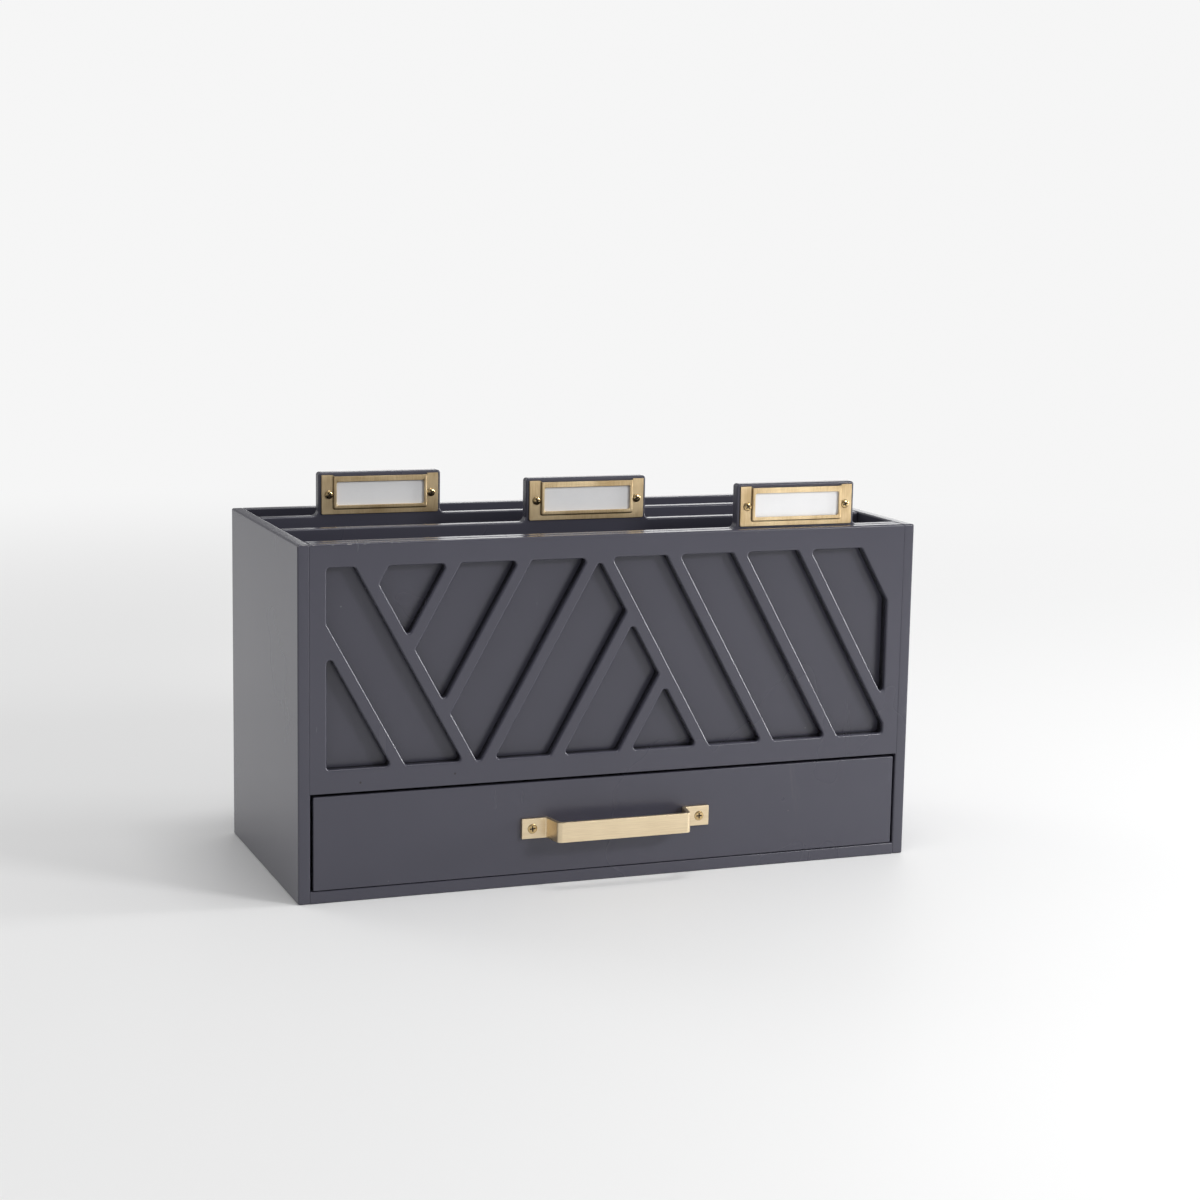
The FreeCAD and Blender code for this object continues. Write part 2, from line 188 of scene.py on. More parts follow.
def makeCharcoalPaint():
    material, bench, shader, place = newFinish("charcoalPaint", IOR=paint["ior"])
    broad = bench.noise(place, paint["clouds"], 3, 0.55)
    base = bench.tint(broad, paint["dark"], paint["light"])
    # rubbed marks: short streaks that lean a little, only here and there
    streak = bench.noise(bench.stretch(place, paint["streaks"], paint["streakLean"]), 1.6, 4, 0.6, 0.4)
    patch = bench.ramp(bench.noise(place, paint["patches"], 2), *paint["patchLimits"])
    rubbed = bench.ramp(streak, *paint["streakLimits"]) * patch
    base = bench.tint(rubbed * paint["rubbedTint"], base, paint["rubbed"])
    # dust specks
    cells = bench.add("ShaderNodeTexVoronoi", {"feature": "F1"}, place, paint["dustCells"])
    speck = 1 - bench.ramp(cells, *paint["dustLimits"])
    chance = bench.add("ShaderNodeSeparateColor", None, cells.out("Color"))
    speck = speck * bench.ramp(chance, *paint["dustChance"])
    base = bench.tint(speck * paint["dustTint"], base, paint["rubbed"])
    # nicks along the front's top edge, most of them near its left corner
    axes = bench.add("ShaderNodeSeparateXYZ", None, place)
    topEdge = bench.ramp(axes.out("Z"), *(caseTop - down for down in paint["nickDown"]))
    leftPart = bench.ramp(0 - axes.out("X"), *paint["nickLeft"])
    frontEdge = bench.ramp(0 - axes.out("Y"), *(-caseFront - behind for behind in paint["nickBehind"]))
    chips = bench.noise(bench.stretch(place, paint["nickCells"]), 1, 3, 0.6)
    chips = bench.ramp(chips, *paint["nickLimits"])
    nicks = chips * topEdge * leftPart * frontEdge
    base = bench.tint(nicks * paint["nickTint"], base, paint["bare"])
    # filled marks over the pins of the front rail
    marks = None
    for x, z in paint["filledMarks"]:
        across = axes.out("X") - x
        up = axes.out("Z") - z
        distance = (across * across + up * up) ** 0.5
        mark = 1 - bench.ramp(distance, paint["markRadius"] * 0.5, paint["markRadius"])
        marks = mark if marks is None else marks + mark
    nearFront = bench.ramp(0 - axes.out("Y"), *(-caseFront - behind for behind in paint["markBehind"]))
    marks = marks * nearFront
    base = bench.tint(marks, base, paint["filler"])
    bench.feed(shader.inputs["Base Color"], base)
    rough = paint["roughness"] + broad * paint["roughnessRange"] + rubbed * paint["roughnessRange"]
    bench.feed(shader.inputs["Roughness"], rough)
    height = bench.noise(place, paint["peel"], 2, 0.5)
    for feature, wave in (("roller", bench.noise(place, paint["roller"], 2, 0.5)), ("marks", marks),
                          ("specks", speck), ("nicks", nicks)):
        height = height + wave * paintHeights[feature]
    bump = bench.add("ShaderNodeBump", None, Strength=paint["bumpStrength"],
                     Distance=paint["peelHeight"], Height=height)
    bench.feed(shader.inputs["Normal"], bump)
    return material


# the brush lines run along the direction whose stretch is small
brassTones = {
    "pull": {"deep": colour(0.78, 0.63, 0.42), "bright": colour(0.88, 0.73, 0.50), "roughness": 0.36,
             "mottle": 0.3, "brush": (90, 2600, 2600)},
    "holder": {"deep": colour(0.56, 0.40, 0.21), "bright": colour(0.86, 0.68, 0.42), "roughness": 0.4,
               "mottle": 0.7, "brush": (1800, 1800, 160)},
    "screw": {"deep": colour(0.50, 0.35, 0.16), "bright": colour(0.74, 0.56, 0.30), "roughness": 0.2,
              "mottle": 0.5, "brush": (700, 700, 700)},
    "limits": (0.32, 0.68),          # of the mottling, from deep to bright
    "clouds": 55,
    "lineRoughness": 0.08,
    "cloudRoughness": 0.04,
    "lineDepth": 0.00001,
    "bumpStrength": 0.35,
    # painted shade: its colour, and how much rougher and less metallic the shaded places become
    "paintedShade": colour(0.022, 0.014, 0.008),
    "shadeRoughness": 0.4,
    "shadeDulling": 0.8,
}


def makeBrass(name, kind, withPaintedShade=False):
    # satin brass, brushed one way
    tone, shared = brassTones[kind], brassTones
    material, bench, shader, place = newFinish(name, Metallic=1.0)
    lines = bench.noise(bench.stretch(place, tone["brush"]), 1, 3, 0.6)
    cloudy = bench.noise(place, shared["clouds"], 2, 0.5)
    shade = lines * (1 - tone["mottle"]) + cloudy * tone["mottle"]
    base = bench.tint(bench.ramp(shade, *shared["limits"]), tone["deep"], tone["bright"])
    rough = tone["roughness"] - 0.05 + lines * shared["lineRoughness"] + cloudy * shared["cloudRoughness"]
    if withPaintedShade:
        # painted shade: the screws' recesses and the foot of each holder's frame are darkened, made rougher
        # and less metallic where shade falls
        paintedShade = bench.add("ShaderNodeAttribute", {"attribute_name": "paintedShade"}).out("Fac")
        base = bench.tint(paintedShade, base, shared["paintedShade"])
        rough = rough + paintedShade * shared["shadeRoughness"]
        bench.feed(shader.inputs["Metallic"], 1 - paintedShade * shared["shadeDulling"])
    bench.feed(shader.inputs["Base Color"], base)
    bench.feed(shader.inputs["Roughness"], rough)
    bump = bench.add("ShaderNodeBump", None, Strength=shared["bumpStrength"],
                     Distance=shared["lineDepth"], Height=lines)
    bench.feed(shader.inputs["Normal"], bump)
    return material


cardPaper = {
    "deep": colour(0.76, 0.76, 0.77),
    "bright": colour(0.84, 0.84, 0.845),
    "roughness": 0.85,
    "fibres": (500, 500, 1400),
    "clouds": 160,
    "fibreDepth": 0.00003,
    "bumpStrength": 0.4,
}


def makeCard():
    # uncoated card with fine fibres
    material, bench, shader, place = newFinish("whiteCard", Roughness=cardPaper["roughness"])
    fibres = bench.noise(bench.stretch(place, cardPaper["fibres"]), 1, 4, 0.7)
    cloudy = bench.noise(place, cardPaper["clouds"], 3, 0.6)
    base = bench.tint(fibres * 0.5 + cloudy * 0.5, cardPaper["deep"], cardPaper["bright"])
    bench.feed(shader.inputs["Base Color"], base)
    bump = bench.add("ShaderNodeBump", None, Strength=cardPaper["bumpStrength"],
                     Distance=cardPaper["fibreDepth"], Height=fibres)
    bench.feed(shader.inputs["Normal"], bump)
    return material


pinSteel = {
    "deep": colour(0.42, 0.42, 0.44),
    "bright": colour(0.62, 0.62, 0.64),
    "roughness": 0.25,
    "lineRoughness": 0.2,
    "drawnLines": (900, 60, 900),
}


def makeSteel():
    # the pins inside the front rail
    material, bench, shader, place = newFinish("brightSteel", Metallic=1.0)
    lines = bench.noise(bench.stretch(place, pinSteel["drawnLines"]), 1, 3, 0.6)
    bench.feed(shader.inputs["Base Color"], bench.tint(lines, pinSteel["deep"], pinSteel["bright"]))
    bench.feed(shader.inputs["Roughness"], pinSteel["roughness"] + lines * pinSteel["lineRoughness"])
    return material


charcoalPaint = makeCharcoalPaint()
pullBrass = makeBrass("pullBrass", "pull")
holderBrass = makeBrass("holderBrass", "holder", True)
screwBrass = makeBrass("screwBrass", "screw", True)
whiteCard = makeCard()
brightSteel = makeSteel()
print("finishes made")


# mesh helpers

# points nearer to each other than this become one
weld = {"drawn": 1e-7, "tree": 1e-6}


def arcOutline(points, radii, steps):
    # a closed outline whose corners are turned into arcs, each with its own radius
    made = []
    count = len(points)
    for index in range(count):
        corner = Vector(points[index])
        toBefore = Vector(points[index - 1]) - corner
        toAfter = Vector(points[(index + 1) % count]) - corner
        radius = radii[index]
        if radius <= 0:
            made.append(tuple(corner))
            continue
        u, w = toBefore.normalized(), toAfter.normalized()
        half = math.acos(max(-1, min(1, u.dot(w)))) / 2
        cut = min(radius / math.tan(half), 0.49 * min(toBefore.length, toAfter.length))
        radius = cut * math.tan(half)
        centre = corner + (u + w).normalized() * (radius / math.sin(half))
        start = corner + u * cut - centre
        sweep = math.pi - 2 * half
        side = 1 if u.x * w.y - u.y * w.x < 0 else -1
        for step in range(steps + 1):
            angle = side * sweep * step / steps
            turned = Vector((start.x * math.cos(angle) - start.y * math.sin(angle),
                             start.x * math.sin(angle) + start.y * math.cos(angle)))
            made.append(tuple(centre + turned))
    return made


def tidyMesh(mesh, gap):
    # welds doubled points and turns the faces outwards
    sheet = bmesh.new()
    sheet.from_mesh(mesh)
    bmesh.ops.remove_doubles(sheet, verts=sheet.verts, dist=gap)
    bmesh.ops.dissolve_degenerate(sheet, edges=sheet.edges, dist=gap)
    bmesh.ops.recalc_face_normals(sheet, faces=sheet.faces)
    sheet.to_mesh(mesh)
    sheet.free()
    mesh.shade_smooth()


def markSharp(mesh, degrees):
    sheet = bmesh.new()
    sheet.from_mesh(mesh)
    for edge in sheet.edges:
        if len(edge.link_faces) == 2 and edge.calc_face_angle() > math.radians(degrees):
            edge.smooth = False
    sheet.to_mesh(mesh)
    sheet.free()


def meshObject(name, vertices, faces, material):
    mesh = bpy.data.meshes.new(name)
    mesh.from_pydata([tuple(v) for v in vertices], [], faces)
    tidyMesh(mesh, weld["drawn"])
    mesh.materials.append(material)
    piece = bpy.data.objects.new(name, mesh)
    bpy.context.scene.collection.objects.link(piece)
    return piece


def prism(name, first, second, material):
    # two like outlines and the walls between them
    count = len(first)
    faces = [list(range(count)), list(range(2 * count - 1, count - 1, -1))]
    faces += [[i, (i + 1) % count, count + (i + 1) % count, count + i] for i in range(count)]
    return meshObject(name, first + second, faces, material)


def plateAlongY(name, outline, front, back, material):
    # an outline in X and Z, given thickness from front to back
    return prism(name, [(x, front, z) for x, z in outline], [(x, back, z) for x, z in outline], material)


def block(name, low, high, material):
    outline = [(low[0], low[2]), (high[0], low[2]), (high[0], high[2]), (low[0], high[2])]
    return plateAlongY(name, outline, low[1], high[1], material)


def keepFlat(piece, weight):
    # flat faces look flat beside their soft edges
    shading = piece.modifiers.new("flatFaces", "WEIGHTED_NORMAL")
    shading.keep_sharp = True
    shading.weight = weight


def soften(piece, radius, segments=3, angle=35):
    # worn or eased arrises
    bevel = piece.modifiers.new("easedEdges", "BEVEL")
    bevel.width = radius
    bevel.segments = segments
    bevel.limit_method = "ANGLE"
    bevel.angle_limit = math.radians(angle)
    bevel.use_clamp_overlap = True
    bevel.miter_outer = "MITER_ARC"
    keepFlat(piece, 80)
    return piece


def mount(piece, body, slotName, *nodes):
    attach(piece, body)
    if nodes:
        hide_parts(*nodes)
    return piece


# case boards

caseSizes = {
    "arris": 0.0009,         # eased edges of the boards
    "innerArris": 0.0006,
    "tuck": 0.0004,          # how far a board's end runs into its neighbour's face
    "tabBeside": 0.0015,     # board left beside and over a label holder
    "tabCorner": 0.0016,
    "tabRoot": 0.0028,
    "tabSteps": 8,
}


def makeSides():
    # their inner faces lie where the base board ends
    left = block("leftSideBoard", leftLow, (-innerX, leftHigh.y, leftHigh.z), charcoalPaint)
    right = block("rightSideBoard", (innerX, rightLow.y, rightLow.z), rightHigh, charcoalPaint)
    mount(soften(left, caseSizes["arris"]), "case", "charcoal_paint", "left_side_panel")
    mount(soften(right, caseSizes["arris"]), "case", "charcoal_paint", "right_side_panel")


def betweenSides(name, node):
    # a plain board that runs from one side board to the other
    low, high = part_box(node)
    reach = innerX + caseSizes["tuck"]
    board = block(name, (-reach, low.y, low.z), (reach, high.y, high.z), charcoalPaint)
    mount(soften(board, caseSizes["innerArris"]), "case", "charcoal_paint", node)


def tabbedBoard(name, node, holderNode):
    # a board with its label tab in one piece
    low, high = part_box(node)
    holderLow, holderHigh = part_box(holderNode)
    reach = innerX + caseSizes["tuck"]
    left = holderLow.x - caseSizes["tabBeside"]
    right = holderHigh.x + caseSizes["tabBeside"]
    points = [(-reach, low.z), (reach, low.z), (reach, caseTop), (right, caseTop),
              (right, high.z), (left, high.z), (left, caseTop), (-reach, caseTop)]
    root, corner = caseSizes["tabRoot"], caseSizes["tabCorner"]
    radii = [0, 0, 0, root, corner, corner, root, 0]
    outline = arcOutline(points, radii, caseSizes["tabSteps"])
    board = plateAlongY(name, outline, low.y, high.y, charcoalPaint)
    mount(soften(board, caseSizes["arris"], 3), "case", "charcoal_paint", node)


makeSides()
betweenSides("baseBoard", "base_panel")
betweenSides("backBoard", "back_panel")
betweenSides("slotFloorBoard", "slot_floor")
tabbedBoard("frontBackingBoard", "front_backing_panel", "front_label_holder")
tabbedBoard("middleDividerBoard", "middle_divider", "middle_label_holder")
tabbedBoard("rearDividerBoard", "rear_divider", "rear_label_holder")
print("case boards made")


# front board with slanted openings

fretSizes = {
    "rail": 0.0113,
    "stile": 0.0079,
    "bar": 0.0249,
    "rib": 0.0061,
    "slope": math.radians(61.0),
    "leftSpine": 0.0404,
    "rightSpine": 0.1620,
    "risingRib": 0.0320,
    "leftFalling": 2,
    "rightFalling": 4,
    "rising": 6,
    "cutter": 0.0016,
    "lip": 0.0010,           # soft edge round each opening
    "arcSteps": 7,
    "lipSteps": 5,
    "seam": 0.0002,          # fine groove where the board meets the side boards
    "near": 1e-5,            # an edge this near to the rim counts as on it
}


def clipped(points, normal, limit):
    kept = []
    for index, point in enumerate(points):
        previous = points[index - 1]
        here = point[0] * normal[0] + point[1] * normal[1] - limit
        there = previous[0] * normal[0] + previous[1] * normal[1] - limit
        if (here < 0) != (there < 0):
            share = there / (there - here)
            kept.append((previous[0] + share * (point[0] - previous[0]),
                         previous[1] + share * (point[1] - previous[1])))
        if here < 0:
            kept.append(point)
    return kept


def band(points, normal, near, far):
    distances = [x * normal[0] + z * normal[1] for x, z in points]
    if max(distances) - far > fretSizes["rib"]:
        points = clipped(points, normal, far)
    if points and near - min(distances) > fretSizes["rib"]:
        points = clipped(points, (-normal[0], -normal[1]), -near)
    return points


def openingOutlines(low, high):
    # two spines fall to the right: bars fall beside them and rise between them
    s = fretSizes
    edgeX = innerX - s["stile"]
    lowZ, highZ = low.z + s["rail"], high.z - s["rail"]
    middleZ = (lowZ + highZ) / 2
    area = [(-edgeX, lowZ), (edgeX, lowZ), (edgeX, highZ), (-edgeX, highZ)]
    falling = (math.sin(s["slope"]), math.cos(s["slope"]))
    rising = (math.sin(s["slope"]), -math.cos(s["slope"]))
    pitch = s["bar"] + s["rib"]

    def along(normal, fromEdge):
        return (fromEdge - edgeX) * normal[0] + middleZ * normal[1]

    leftSpine = along(falling, s["leftSpine"])
    rightSpine = along(falling, s["rightSpine"])
    found = []
    for index in range(s["leftFalling"]):
        far = leftSpine - index * pitch
        found.append(band(area, falling, far - s["bar"], far))
    for index in range(s["rightFalling"]):
        near = rightSpine + s["rib"] + index * pitch
        found.append(band(area, falling, near, near + s["bar"]))
    middle = band(area, falling, leftSpine + s["rib"], rightSpine)
    first = along(rising, s["risingRib"])
    for index in range(s["rising"]):
        far = first + index * pitch
        found.append(band(middle, rising, far - s["bar"], far))
    return [outline for outline in found if len(outline) > 2]


def geometryTree(name, inputs):
    # an empty tree with named inputs, and the identifier of each
    tree = bpy.data.node_groups.new(name, "GeometryNodeTree")
    kinds = {float: "NodeSocketFloat", int: "NodeSocketInt", bpy.types.Material: "NodeSocketMaterial"}
    tree.interface.new_socket("Geometry", in_out="INPUT", socket_type="NodeSocketGeometry")
    identifiers = {}
    for label, value in inputs.items():
        made = tree.interface.new_socket(label, in_out="INPUT", socket_type=kinds[type(value)])
        identifiers[label] = made.identifier
    tree.interface.new_socket("Geometry", in_out="OUTPUT", socket_type="NodeSocketGeometry")
    bench = Bench(tree)
    return bench, bench.add("NodeGroupInput"), identifiers


def bakedTree(name, carrier, bench, source, result, inputs, identifiers):
    # ends the tree, runs it on the carrier and returns the result as a plain mesh object
    realised = bench.add("GeometryNodeRealizeInstances", None, result)
    finished = bench.add("GeometryNodeSetMaterial", None, realised, Material=source.out("Material"))
    bench.add("NodeGroupOutput", None, finished)
    modifier = carrier.modifiers.new(name, "NODES")
    modifier.node_group = bench.tree
    for label, value in inputs.items():
        modifier[identifiers[label]] = value
    bpy.context.view_layer.update()
    graph = bpy.context.evaluated_depsgraph_get()
    mesh = bpy.data.meshes.new_from_object(carrier.evaluated_get(graph), depsgraph=graph)
    carrier.modifiers.remove(modifier)
    bpy.data.objects.remove(carrier)
    tidyMesh(mesh, weld["tree"])
    mesh.name = name
    piece = bpy.data.objects.new(name, mesh)
    bpy.context.scene.collection.objects.link(piece)
    return piece


def joined(bench, *parts):
    node = bench.add("GeometryNodeJoinGeometry")
    for part in parts:
        bench.tree.links.new(part.socket, node.node.inputs[0])
    return node


def makeFretBoard():
    low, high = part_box("front_fret_panel")
    s = fretSizes
    # the outlines are drawn flat: X across, Y for the height
    drawing = bpy.data.curves.new("openingLines", "CURVE")
    drawing.dimensions = "3D"
    for outline in openingOutlines(low, high):
        spline = drawing.splines.new("POLY")
        spline.points.add(len(outline) - 1)
        for point, (x, z) in zip(spline.points, outline):
            point.co = (x, z, 0, 1)
        spline.use_cyclic_u = True
    carrier = bpy.data.objects.new("openingLines", drawing)
    bpy.context.scene.collection.objects.link(carrier)
    inputs = {
        "Width": float(2 * (innerX + caseSizes["tuck"])),
        "Bottom": float(low.z),
        "Top": float(high.z),
        "Front": float(low.y),
        "Thickness": float(high.y - low.y),
        "Cutter radius": float(s["cutter"]),
        "Lip radius": float(s["lip"]),
        "Arc steps": int(s["arcSteps"]),
        "Lip steps": int(s["lipSteps"]),
        "Material": charcoalPaint,
    }
    bench, source, identifiers = geometryTree("slantedOpenings", inputs)
    lip, depth = source.out("Lip radius"), source.out("Thickness")
    top, bottom = source.out("Top"), source.out("Bottom")

    def point(x, y, z=0.0):
        return bench.add("ShaderNodeCombineXYZ", None, x, y, z)

    openings = bench.add("GeometryNodeFilletCurve", {"mode": "POLY"}, source.out("Geometry"),
                         source.out("Arc steps"), source.out("Cutter radius"), True)
    openings = bench.add("GeometryNodeSetCurveNormal", {"mode": "Z_UP"}, openings)
    outline = bench.add("GeometryNodeCurvePrimitiveQuadrilateral", {"mode": "RECTANGLE"},
                        source.out("Width"), top - bottom)
    outline = bench.add("GeometryNodeTransform", None, outline,
                        Translation=point(0.0, (top + bottom) * 0.5))
    outline = bench.add("GeometryNodeSetCurveNormal", {"mode": "Z_UP"}, outline)

    # profiles: X away from the opening, Y into the board
    lipArc = bench.add("GeometryNodeCurveArc", {"mode": "RADIUS"}, Resolution=source.out("Lip steps"),
                       Radius=lip, Start_Angle=1.5 * math.pi, Sweep_Angle=-0.5 * math.pi)
    lipArc = bench.add("GeometryNodeTransform", None, lipArc, Translation=point(lip, lip))
    wall = bench.add("GeometryNodeCurvePrimitiveLine", {"mode": "POINTS"},
                     point(0.0, lip), point(0.0, depth))
    edge = bench.add("GeometryNodeCurvePrimitiveLine", {"mode": "POINTS"},
                     point(0.0, 0.0), point(0.0, depth))
    lips = bench.add("GeometryNodeCurveToMesh", None, openings, lipArc)
    walls = bench.add("GeometryNodeCurveToMesh", None, openings, wall)
    edges = bench.add("GeometryNodeCurveToMesh", None, outline, edge)

    # front and back faces, with the openings left out
    away = bench.add("GeometryNodeInputNormal")
    offset = bench.add("ShaderNodeVectorMath", {"operation": "SCALE"}, away, Scale=lip)
    wider = bench.add("GeometryNodeSetPosition", None, openings, Offset=offset)
    frontFace = bench.add("GeometryNodeFillCurve", {"mode": "NGONS"}, joined(bench, outline, wider))
    backFace = bench.add("GeometryNodeFillCurve", {"mode": "NGONS"}, joined(bench, outline, openings))
    backFace = bench.add("GeometryNodeTransform", None, backFace, Translation=point(0.0, 0.0, 0 - depth))
    board = joined(bench, frontFace, backFace, lips, walls, edges)
    board = bench.add("GeometryNodeMergeByDistance", {"mode": "ALL"}, board, Distance=weld["tree"])
    # stood up, with its face to the front
    board = bench.add("GeometryNodeTransform", None, board, Translation=point(0.0, source.out("Front")),
                      Rotation=(math.pi / 2, 0, 0))
    piece = bakedTree("frontFretBoard", carrier, bench, source, board, inputs, identifiers)
    weights = piece.data.attributes.new("bevel_weight_edge", "FLOAT", "EDGE")
    reach = innerX + caseSizes["tuck"] - s["near"]
    for boardEdge in piece.data.edges:
        a, b = (piece.data.vertices[i].co for i in boardEdge.vertices)
        if min(a.z, b.z) > high.z - s["near"]:
            weights.data[boardEdge.index].value = 1.0
        elif abs(a.x) > reach and abs(b.x) > reach and max(a.y, b.y) < low.y + s["near"]:
            weights.data[boardEdge.index].value = s["seam"] / caseSizes["arris"]
    bevel = piece.modifiers.new("easedEdges", "BEVEL")
    bevel.limit_method = "WEIGHT"
    bevel.width = caseSizes["arris"]
    bevel.segments = 3
    keepFlat(piece, 80)
    mount(piece, "case", "charcoal_paint", "front_fret_panel")
    return piece


fretBoard = makeFretBoard()
print("front board made:", len(fretBoard.data.polygons), "faces")


# drawer

drawerSizes = {"arris": 0.0005}


def makeDrawer():
    for name, node in (("drawerFrontBoard", "drawer_front"), ("drawerLeftBoard", "drawer_left_side"),
                       ("drawerRightBoard", "drawer_right_side"), ("drawerBackBoard", "drawer_back"),
                       ("drawerBottomBoard", "drawer_bottom")):
        low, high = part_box(node)
        board = block(name, low, high, charcoalPaint)
        mount(soften(board, drawerSizes["arris"]), "drawer", "charcoal_paint", node)


makeDrawer()


# drawer pull, one bar bent twice at each end

pullSizes = {
    "thick": 0.002,
    "foot": 0.0125,
    "front": 0.0693,
    "bend": 0.0007,
    "bendSteps": 7,
    "arris": 0.00032,
}


def offsetLine(points, distance):
    moved = []
    for index, point in enumerate(points):
        before, after = points[max(index - 1, 0)], points[min(index + 1, len(points) - 1)]
        normals = []
        for start, end in ((before, point), (point, after)):
            run = math.hypot(end[0] - start[0], end[1] - start[1])
            if run > 0:
                normals.append(((start[1] - end[1]) / run, (end[0] - start[0]) / run))
        first, last = normals[0], normals[-1]
        scale = distance / (1 + first[0] * last[0] + first[1] * last[1])
        moved.append((point[0] + (first[0] + last[0]) * scale, point[1] + (first[1] + last[1]) * scale))
    return moved


def makePull():
    low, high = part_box("drawer_pull")
    s = pullSizes
    footY, reachY = high.y - s["thick"], low.y
    footBend, frontEnd = high.x - s["foot"], s["front"] / 2
    outer = [(low.x, footY), (-footBend, footY), (-frontEnd, reachY),
             (frontEnd, reachY), (footBend, footY), (high.x, footY)]
    inner = offsetLine(outer, s["thick"])
    wide = s["bend"] + s["thick"]
    radii = [0, s["bend"], wide, wide, s["bend"], 0, 0, wide, s["bend"], s["bend"], wide, 0]
    outline = arcOutline(outer + inner[::-1], radii, s["bendSteps"])
    bar = prism("drawerPullBar", [(x, y, low.z) for x, y in outline],
                [(x, y, high.z) for x, y in outline], pullBrass)
    mount(soften(bar, s["arris"], 3, 50), "drawer", "pale_brass", "drawer_pull")


makePull()
print("drawer made")


# label holders, stamped from sheet

holderSizes = {
    "sheet": 0.0008,
    "frameHalf": 0.0244,
    "foot": 0.0026,          # frame's lower edge above the plate's
    "drop": 0.0007,          # frame's top below the end plates' top
    "windowSide": 0.0014,
    "windowUnder": 0.0019,
    "windowOver": 0.0027,
    "windowCorner": 0.0012,
    "plateCorner": 0.0007,
    "brow": 0.0005,          # rounding where the frame turns down to its wall
    "root": 0.00025,
    "rim": 0.00034,          # eased outer edges
    "frameCorner": 0.0009,
    "innerCorner": 0.0003,   # inside the folded frame
    "shadeBand": 0.0003,         # painted shade line along the foot of the frame
    "shadeStrength": 0.8,
    "snap": 0.00001,
    "arcSteps": 6,
    "browSteps": 4,
    "rootSteps": 3,
}


